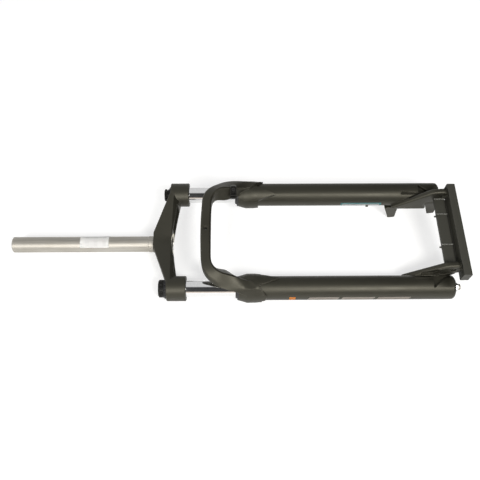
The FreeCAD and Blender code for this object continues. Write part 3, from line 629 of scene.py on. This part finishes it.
def make_foam():
    """Open-cell foam, with painted shade in its cells: its tone darkens away from each cell's middle."""
    material, tree, shader = new_finish("oiled_foam", roughness=0.9)
    cells = add_node(tree, "ShaderNodeTexVoronoi", {"Scale": 1400.0})
    place = add_node(tree, "ShaderNodeTexCoord")
    join(tree, place, "Object", cells, "Vector")
    # Painted shade: the foam goes darker from each cell's middle towards its rim.
    tone = two_colours(tree, cells, "Distance", first=(0.38, 0.35, 0.31), second=(0.20, 0.18, 0.16))
    join(tree, tone, "Result", shader, "Base Color")
    bump(tree, shader, cells, "Distance", depth=0.2 * MM, strength=0.8)
    return material


def make_plastic(name, dark, light, roughness, edge, edge_width=0.6 * MM, rubbed_and_lit_x=0.0, rubbed_and_lit_reach=1.0,
                 shine=0.5):
    """Moulded plastic: a faint spark-eroded texture, uneven gloss, and paler edges near a level of X, from
    wear and a painted highlight.
    """
    material, tree, shader = new_finish(name)
    shader.inputs["Specular IOR Level"].default_value = shine
    texture = grain(tree, scale=900.0)
    edges = rubbed_and_lit_edges(tree, edge_width, strength=3.0)
    tone = two_colours(tree, texture, "Mask", first=dark, second=light)
    # The edge colour near that level is partly wear and partly a painted highlight.
    worn_and_lit = add_node(tree, "ShaderNodeMix", {"B": (*edge, 1.0)}, data_type="RGBA")
    place = add_node(tree, "ShaderNodeTexCoord")
    apart = add_node(tree, "ShaderNodeSeparateXYZ")
    near = add_node(tree, "ShaderNodeMath", {1: rubbed_and_lit_x, 2: rubbed_and_lit_reach}, operation="COMPARE")
    rubbed_and_lit = add_node(tree, "ShaderNodeMath", operation="MULTIPLY")
    join(tree, place, "Object", apart, "Vector")
    join(tree, apart, "X", near, 0)
    join(tree, edges, "Mask", rubbed_and_lit, 0)
    join(tree, near, "Value", rubbed_and_lit, 1)
    join(tree, rubbed_and_lit, "Value", worn_and_lit, "Factor")
    join(tree, tone, "Result", worn_and_lit, "A")
    join(tree, worn_and_lit, "Result", shader, "Base Color")
    smoother = 0.06
    rougher = 0.08
    rough = between(tree, texture, "Mask", low=roughness - smoother, high=roughness + rougher)
    join(tree, rough, "Result", shader, "Roughness")
    bump(tree, shader, texture, "Mask", depth=0.03 * MM, strength=0.35, base=edges)
    return material


def dress(node, finish):
    """Gives its finish to a CAD node that is shown as it is."""
    slots = frame["nodes"][node].data.materials
    slots.clear()
    slots.append(finish)


wiper_rubber = make_rubber()
oiled_foam = make_foam()
# The lining's edge colour is wear together with a painted highlight.
bushing_lining = make_plastic(
    "bushing_lining", dark=(0.20, 0.19, 0.17), light=(0.28, 0.26, 0.23), roughness=0.4,
    edge=(0.32, 0.30, 0.27))
for side in ("left", "right"):
    soften("wiper_seal_" + side, wiper_rubber)
    dress("foam_ring_" + side, oiled_foam)
    dress("upper_bushing_" + side, bushing_lining)
    dress("lower_bushing_" + side, bushing_lining)

# Spring side
# A black plastic cap and a scalloped knob close the left stanchion; the knob's spindle pushes a plunger down.
# Between the plunger and the perch on its rod stands the coil spring, wound from round oiled wire.
# It stands clear of the plunger by just over the plunger's stroke, so that full preload all but meets it.


def make_turned_metal(name, dark, light, low_gloss, high_gloss, metallic=1.0):
    """Metal straight from the lathe or the plating bath: fine rings round the axis."""
    material, tree, shader = new_finish(name, metallic=metallic)
    rings = grain(tree, scale=700.0, along=(0.15, 0.15, 1.0))
    tone = two_colours(tree, rings, "Mask", first=dark, second=light)
    join(tree, tone, "Result", shader, "Base Color")
    rough = between(tree, rings, "Mask", low_gloss, high_gloss)
    join(tree, rough, "Result", shader, "Roughness")
    bump(tree, shader, rings, "Mask", depth=0.02 * MM, strength=0.5)
    return material


def make_coil_tree(finish):
    """Round wire wound on a cylinder about Z."""
    tree = bpy.data.node_groups.new("wound_wire", "GeometryNodeTree")
    inputs = (
        ("Coil Radius", "NodeSocketFloat", 0.01),
        ("Wire Radius", "NodeSocketFloat", 0.002),
        ("Turns", "NodeSocketFloat", 10.0),
        ("Height", "NodeSocketFloat", 0.1),
        ("Steps per Turn", "NodeSocketInt", 40),
        ("Wire Sides", "NodeSocketInt", 12),
        ("Place", "NodeSocketVector", (0.0, 0.0, 0.0)),
    )
    for label, kind, default in inputs:
        socket = tree.interface.new_socket(label, in_out="INPUT", socket_type=kind)
        socket.default_value = default
    tree.interface.new_socket("Geometry", in_out="OUTPUT", socket_type="NodeSocketGeometry")
    entry = add_node(tree, "NodeGroupInput")
    leave = add_node(tree, "NodeGroupOutput")
    spiral = add_node(tree, "GeometryNodeCurveSpiral")
    round_wire = add_node(tree, "GeometryNodeCurvePrimitiveCircle")
    sweep = add_node(tree, "GeometryNodeCurveToMesh", {"Fill Caps": True})
    put = add_node(tree, "GeometryNodeTransform")
    smooth = add_node(tree, "GeometryNodeSetShadeSmooth")
    real = add_node(tree, "GeometryNodeRealizeInstances")
    coat = add_node(tree, "GeometryNodeSetMaterial", {"Material": finish})
    join(tree, entry, "Steps per Turn", spiral, "Resolution")
    join(tree, entry, "Turns", spiral, "Rotations")
    join(tree, entry, "Coil Radius", spiral, "Start Radius")
    join(tree, entry, "Coil Radius", spiral, "End Radius")
    join(tree, entry, "Height", spiral, "Height")
    join(tree, entry, "Wire Sides", round_wire, "Resolution")
    join(tree, entry, "Wire Radius", round_wire, "Radius")
    join(tree, spiral, "Curve", sweep, "Curve")
    join(tree, round_wire, "Curve", sweep, "Profile Curve")
    join(tree, sweep, "Mesh", put, "Geometry")
    join(tree, entry, "Place", put, "Translation")
    join(tree, put, "Geometry", smooth, "Geometry")
    join(tree, smooth, "Geometry", real, "Geometry")
    join(tree, real, "Geometry", coat, "Geometry")
    join(tree, coat, "Geometry", leave, "Geometry")
    return tree


def wound_piece(name, body, finish, sizes):
    """A coil made by the wound wire tree and kept as a plain mesh."""
    tree = make_coil_tree(finish)
    holder = bpy.data.objects.new(name, bpy.data.meshes.new(name))
    bpy.context.scene.collection.objects.link(holder)
    maker = holder.modifiers.new("wound_wire", "NODES")
    maker.node_group = tree
    for item in tree.interface.items_tree:
        if item.in_out == "INPUT" and item.name in sizes:
            maker[item.identifier] = sizes[item.name]
    made = bpy.data.meshes.new_from_object(holder.evaluated_get(bpy.context.evaluated_depsgraph_get()))
    holder.modifiers.remove(maker)
    holder.data = made
    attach(holder, body)
    return holder


# The plastics' edge colours are wear together with a painted highlight on their edges.
black_plastic = make_plastic(
    "black_plastic", dark=(0.005, 0.005, 0.0045), light=(0.009, 0.0088, 0.008), roughness=0.36,
    edge=(0.08, 0.078, 0.07), shine=0.14)
white_plastic = make_plastic(
    "white_plastic", dark=(0.66, 0.65, 0.60), light=(0.74, 0.73, 0.68), roughness=0.4,
    edge=(0.78, 0.77, 0.72))
zinc_plate = make_turned_metal(
    "zinc_plate", dark=(0.60, 0.61, 0.62), light=(0.72, 0.73, 0.74), low_gloss=0.22, high_gloss=0.34)
turned_alloy = make_turned_metal(
    "turned_alloy", dark=(0.50, 0.50, 0.51), light=(0.60, 0.60, 0.61), low_gloss=0.32, high_gloss=0.44)
spring_steel = make_turned_metal(
    "spring_steel", dark=(0.10, 0.10, 0.10), light=(0.16, 0.16, 0.155), low_gloss=0.3, high_gloss=0.45)
soften("spring_top_cap", black_plastic)
soften("preload_knob", black_plastic)
dress("preload_spindle", zinc_plate)
dress("preload_plunger", white_plastic)
dress("spring_perch", white_plastic)
dress("compression_rod", turned_alloy)
dress("spring_end_guide", white_plastic)
dress("top_out_bumper", wiper_rubber)
dress("bottom_out_bumper", wiper_rubber)

spring_low, spring_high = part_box("main_spring")
spring_wire_r = 2.2 * MM
spring_turns = 16.0
spring_coil_r = (spring_high.x - spring_low.x) / 2 - spring_wire_r
plunger_room = 8.2 * MM
spring_top = spring_high.z - plunger_room
spring_length = spring_top - spring_low.z
coil_spring = wound_piece("coil_spring", "upper", spring_steel, {
    "Coil Radius": spring_coil_r, "Wire Radius": spring_wire_r, "Turns": spring_turns,
    "Height": spring_length - 2 * spring_wire_r, "Steps per Turn": 40, "Wire Sides": 12,
    "Place": (leg_x, leg_y, spring_low.z + spring_wire_r),
})
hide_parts("main_spring")
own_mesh(coil_spring)

# Damper side
# A black anodised cap with spanner notches and a fluted plastic lockout knob close the right stanchion.
# Below them hang the damper's alloy tube and its seal head.
# The chromed shaft with its piston stands on the leg's foot.
anodised_black = make_turned_metal(
    "anodised_black", dark=(0.018, 0.018, 0.019), light=(0.030, 0.030, 0.031), low_gloss=0.3, high_gloss=0.42,
    metallic=0.6)
soften("damper_top_cap", anodised_black)
soften("lockout_knob", black_plastic)
dress("lockout_spindle", zinc_plate)
dress("damper_tube", turned_alloy)
dress("damper_seal_head", white_plastic)
dress("damper_piston", turned_alloy)
dress("damper_shaft", hard_chrome)

# Foot hardware
# Zinc-plated steel at each foot: a socket head bolt on the left, a nut on the shaft's thread on the right.
# A small round steel lock nut with a socket stands on the end of the thread, over the hexagon nut.
for node in ("foot_washer_left", "foot_washer_right", "foot_bolt_left", "foot_nut_right"):
    soften(node, zinc_plate)
shaft_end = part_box("damper_shaft")[0].z
nut_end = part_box("foot_nut_right")[0].z
lock_gap = 0.05 * MM
lock_r = 5.4 * MM
lock_bevel = 0.6 * MM
lock_length = 5.0 * MM
lock_socket_r = 1.6 * MM
lock_steps = 48
thread_r = 4.0 * MM + lock_gap
lock_top = nut_end - lock_gap
lock_bottom = nut_end - lock_length
lock_floor = shaft_end - lock_gap
lock_outline = [
    (thread_r, lock_top), (lock_r, lock_top), (lock_r, lock_bottom + lock_bevel),
    (lock_r - lock_bevel, lock_bottom), (lock_socket_r, lock_bottom), (lock_socket_r, lock_floor),
    (thread_r, lock_floor),
]
lock_mesh = turned_mesh("shaft_end_nut", lock_outline, right_leg, lock_steps)
add_piece(lock_mesh, "shaft_end_nut", "lowers", drawn_steel)

# Hose guide
# A black plastic clip for the brake hose.
# It is held on its pad behind the arch's left foot by one small black screw.
soften("hose_guide", black_plastic)
black_steel = make_turned_metal(
    "black_steel", dark=(0.030, 0.030, 0.031), light=(0.055, 0.054, 0.052), low_gloss=0.3, high_gloss=0.42,
    metallic=0.8)
soften("hose_guide_screw", black_steel)

# Dropout spacer
# A moulded black plastic bar with a ribbed tray, pushed into the axle slots.
# It keeps the dropouts apart until a wheel goes in, and the tips of its ribs are pale, from wear and a
# painted highlight.
rib_tip = 46.6 * MM
rib_reach = 0.9 * MM
tray_wall_low = -517.5 * MM
tray_lip_back = 39.5 * MM


def thin_tray(work):
    """Makes the wall along the tray's upper edge a low lip behind its panel."""
    for vertex in work.verts:
        if vertex.co.z > tray_wall_low and vertex.co.x < tray_lip_back:
            vertex.co.x = tray_lip_back


# The pale rib tips are wear together with a painted highlight.
spacer_plastic = make_plastic(
    "spacer_plastic", dark=(0.025, 0.0245, 0.018), light=(0.034, 0.033, 0.025), roughness=0.55,
    edge=(0.62, 0.62, 0.58), edge_width=1.1 * MM, rubbed_and_lit_x=rib_tip, rubbed_and_lit_reach=rib_reach)
soften("dropout_spacer", spacer_plastic, reshape=thin_tray)

# Table
# The fork lies on its back on a white table, tipped a little to one side.
# The table keeps the fork's shadow and is otherwise white, and from below it can be seen through.
table_x = -24.2 * MM
table_z = -0.15
table_fall = 0.167
table_half = 1.4
table_grey = 0.55
table_lift = 0.54


def make_table():
    """A plane that just touches the fork's back, in the fork's own frame."""
    normal = Vector((1.0, table_fall, 0.0)).normalized()
    along = Vector((-table_fall, 1.0, 0.0)).normalized()
    upright = Vector((0.0, 0.0, 1.0))
    middle = Vector((table_x, 0.0, table_z))
    corners = []
    for a, b in ((-1, -1), (1, -1), (1, 1), (-1, 1)):
        corners.append(middle + along * a * table_half + upright * b * table_half)
    mesh = bpy.data.meshes.new("table")
    mesh.from_pydata(corners, [], [(0, 1, 2, 3)])
    mesh.update()
    if mesh.polygons[0].normal.dot(normal) < 0:
        mesh.flip_normals()
    plane = bpy.data.objects.new("table", mesh)
    bpy.context.scene.collection.objects.link(plane)
    return plane


def seen_rays(tree):
    """1 for rays that show the background: from the camera, in a reflection or through something clear."""
    path = add_node(tree, "ShaderNodeLightPath")
    first = add_node(tree, "ShaderNodeMath", operation="MAXIMUM")
    both = add_node(tree, "ShaderNodeMath", operation="MAXIMUM")
    join(tree, path, "Is Camera Ray", first, 0)
    join(tree, path, "Is Glossy Ray", first, 1)
    join(tree, first, "Value", both, 0)
    join(tree, path, "Is Transmission Ray", both, 1)
    return both


def make_table_paper():
    """White to every ray that shows it, with the fork's shadow kept, and clear from below."""
    material = bpy.data.materials.new("table_paper")
    material.use_nodes = True
    tree = material.node_tree
    tree.nodes.clear()
    leave = add_node(tree, "ShaderNodeOutputMaterial")
    paper = add_node(tree, "ShaderNodeBsdfDiffuse", {"Color": (table_grey, table_grey, table_grey, 1.0)})
    glow = add_node(tree, "ShaderNodeEmission", {"Color": (1.0, 1.0, 1.0, 1.0)})
    lift = add_node(tree, "ShaderNodeMath", {1: table_lift}, operation="MULTIPLY")
    both = add_node(tree, "ShaderNodeAddShader")
    back = add_node(tree, "ShaderNodeNewGeometry")
    clear = add_node(tree, "ShaderNodeBsdfTransparent")
    sides = add_node(tree, "ShaderNodeMixShader")
    join(tree, seen_rays(tree), "Value", lift, 0)
    join(tree, lift, "Value", glow, "Strength")
    join(tree, paper, "BSDF", both, 0)
    join(tree, glow, "Emission", both, 1)
    join(tree, back, "Backfacing", sides, "Fac")
    join(tree, both, "Shader", sides, 1)
    join(tree, clear, "BSDF", sides, 2)
    join(tree, sides, "Shader", leave, "Surface")
    return material


table = make_table()
table.data.materials.append(make_table_paper())

# Room and lights
# Two soft lights stand over the fork, with a faint warm one beside it, and an even fill lights what is dull.
# A pale wall, and a bright window beyond the fork, show in its chrome.
room_fill = 0.55
room_dark = 0.05
wall_level = 0.7
wall_start = 0.08
wall_full = 0.25
window_level = 0.75
window_way = (0.4476, 0.8942, 0.0)
window_start = 0.30
window_full = 0.50
window_inner = 0.12
window_outer = 0.22


def make_room():
    """Even light for dull surfaces, and a dark room with a wall and a window for shiny ones."""
    room = bpy.data.worlds.new("room")
    bpy.context.scene.world = room
    room.use_nodes = True
    tree = room.node_tree
    light = tree.nodes["Background"]
    light.inputs["Color"].default_value = (1.0, 1.0, 1.0, 1.0)
    way = add_node(tree, "ShaderNodeTexCoord")
    across = add_node(tree, "ShaderNodeVectorMath", {1: window_way}, operation="DOT_PRODUCT")
    parts = add_node(tree, "ShaderNodeSeparateXYZ")
    level = add_node(tree, "ShaderNodeMath", operation="ABSOLUTE")
    window_side = add_node(tree, "ShaderNodeMapRange", {
        "From Min": window_start, "From Max": window_full, "To Min": 0.0, "To Max": window_level})
    window_height = add_node(tree, "ShaderNodeMapRange", {
        "From Min": window_inner, "From Max": window_outer, "To Min": 1.0, "To Max": 0.0})
    window = add_node(tree, "ShaderNodeMath", operation="MULTIPLY")
    wall = add_node(tree, "ShaderNodeMapRange", {
        "From Min": wall_start, "From Max": wall_full, "To Min": room_dark, "To Max": wall_level})
    shine = add_node(tree, "ShaderNodeMath", operation="MAXIMUM")
    path = add_node(tree, "ShaderNodeLightPath")
    mirror = add_node(tree, "ShaderNodeMix", {"A": room_fill}, data_type="FLOAT")
    clear = add_node(tree, "ShaderNodeMath", operation="MAXIMUM")
    seen = add_node(tree, "ShaderNodeMix", {"B": 1.0}, data_type="FLOAT")
    join(tree, way, "Generated", across, 0)
    join(tree, way, "Generated", parts, "Vector")
    join(tree, parts, "Z", level, 0)
    join(tree, parts, "Z", wall, "Value")
    join(tree, across, "Value", window_side, "Value")
    join(tree, level, "Value", window_height, "Value")
    join(tree, window_side, "Result", window, 0)
    join(tree, window_height, "Result", window, 1)
    join(tree, window, "Value", shine, 0)
    join(tree, wall, "Result", shine, 1)
    join(tree, path, "Is Glossy Ray", mirror, "Factor")
    join(tree, shine, "Value", mirror, "B")
    join(tree, path, "Is Camera Ray", clear, 0)
    join(tree, path, "Is Transmission Ray", clear, 1)
    join(tree, clear, "Value", seen, "Factor")
    join(tree, mirror, "Result", seen, "A")
    join(tree, seen, "Result", light, "Strength")


def add_soft_light(name, place, aim, width, height, watts, colour):
    """A rectangular lamp that looks at a point."""
    lamp = bpy.data.lights.new(name, "AREA")
    lamp.shape = "RECTANGLE"
    lamp.size = width
    lamp.size_y = height
    lamp.energy = watts
    lamp.color = colour
    holder = bpy.data.objects.new(name, lamp)
    bpy.context.scene.collection.objects.link(holder)
    holder.location = place
    holder.rotation_euler = (Vector(aim) - Vector(place)).to_track_quat("-Z", "Y").to_euler()


make_room()
fork_middle = (0.02, 0.0, -0.15)
legs_middle = (0.02, 0.0, -0.35)
steerer_middle = (0.0, 0.0, 0.1)
daylight = (1.0, 0.985, 0.95)
lamplight = (1.0, 0.86, 0.74)
add_soft_light("leg_light", place=(1.89, -1.17, -0.95), aim=legs_middle, width=0.5, height=0.7,
               watts=34.0, colour=daylight)
add_soft_light("steerer_light", place=(1.58, -1.53, 0.65), aim=steerer_middle, width=0.5, height=0.5,
               watts=25.0, colour=daylight)
add_soft_light("side_light", place=(0.35, -1.6, 0.0), aim=fork_middle, width=0.6, height=0.4,
               watts=0.6, colour=lamplight)

# Camera
# The camera looks down on the fork from the photograph's place, with the photograph's focal length.
# Its place and its axes were solved from the fork's sizes and where they fall in the picture.
photo_width = 480.0
photo_focal = 584.0
camera = bpy.data.cameras.new("camera")
camera.sensor_width = 36.0
camera.lens = camera.sensor_width * photo_focal / photo_width
camera_holder = bpy.data.objects.new("camera", camera)
bpy.context.scene.collection.objects.link(camera_holder)
camera_right = Vector((0.00545372, -0.00821537, -0.99995138))
camera_up = Vector((0.44759979, 0.89416803, -0.00490554))
camera_back = Vector((0.89416486, -0.44755127, 0.00855454))
camera_place = Matrix((camera_right, camera_up, camera_back)).transposed().to_4x4()
camera_place.translation = Vector((0.968351, -0.477017, -0.149550))
camera_holder.matrix_world = camera_place
bpy.context.scene.camera = camera_holder
bpy.context.scene.view_settings.view_transform = "Standard"
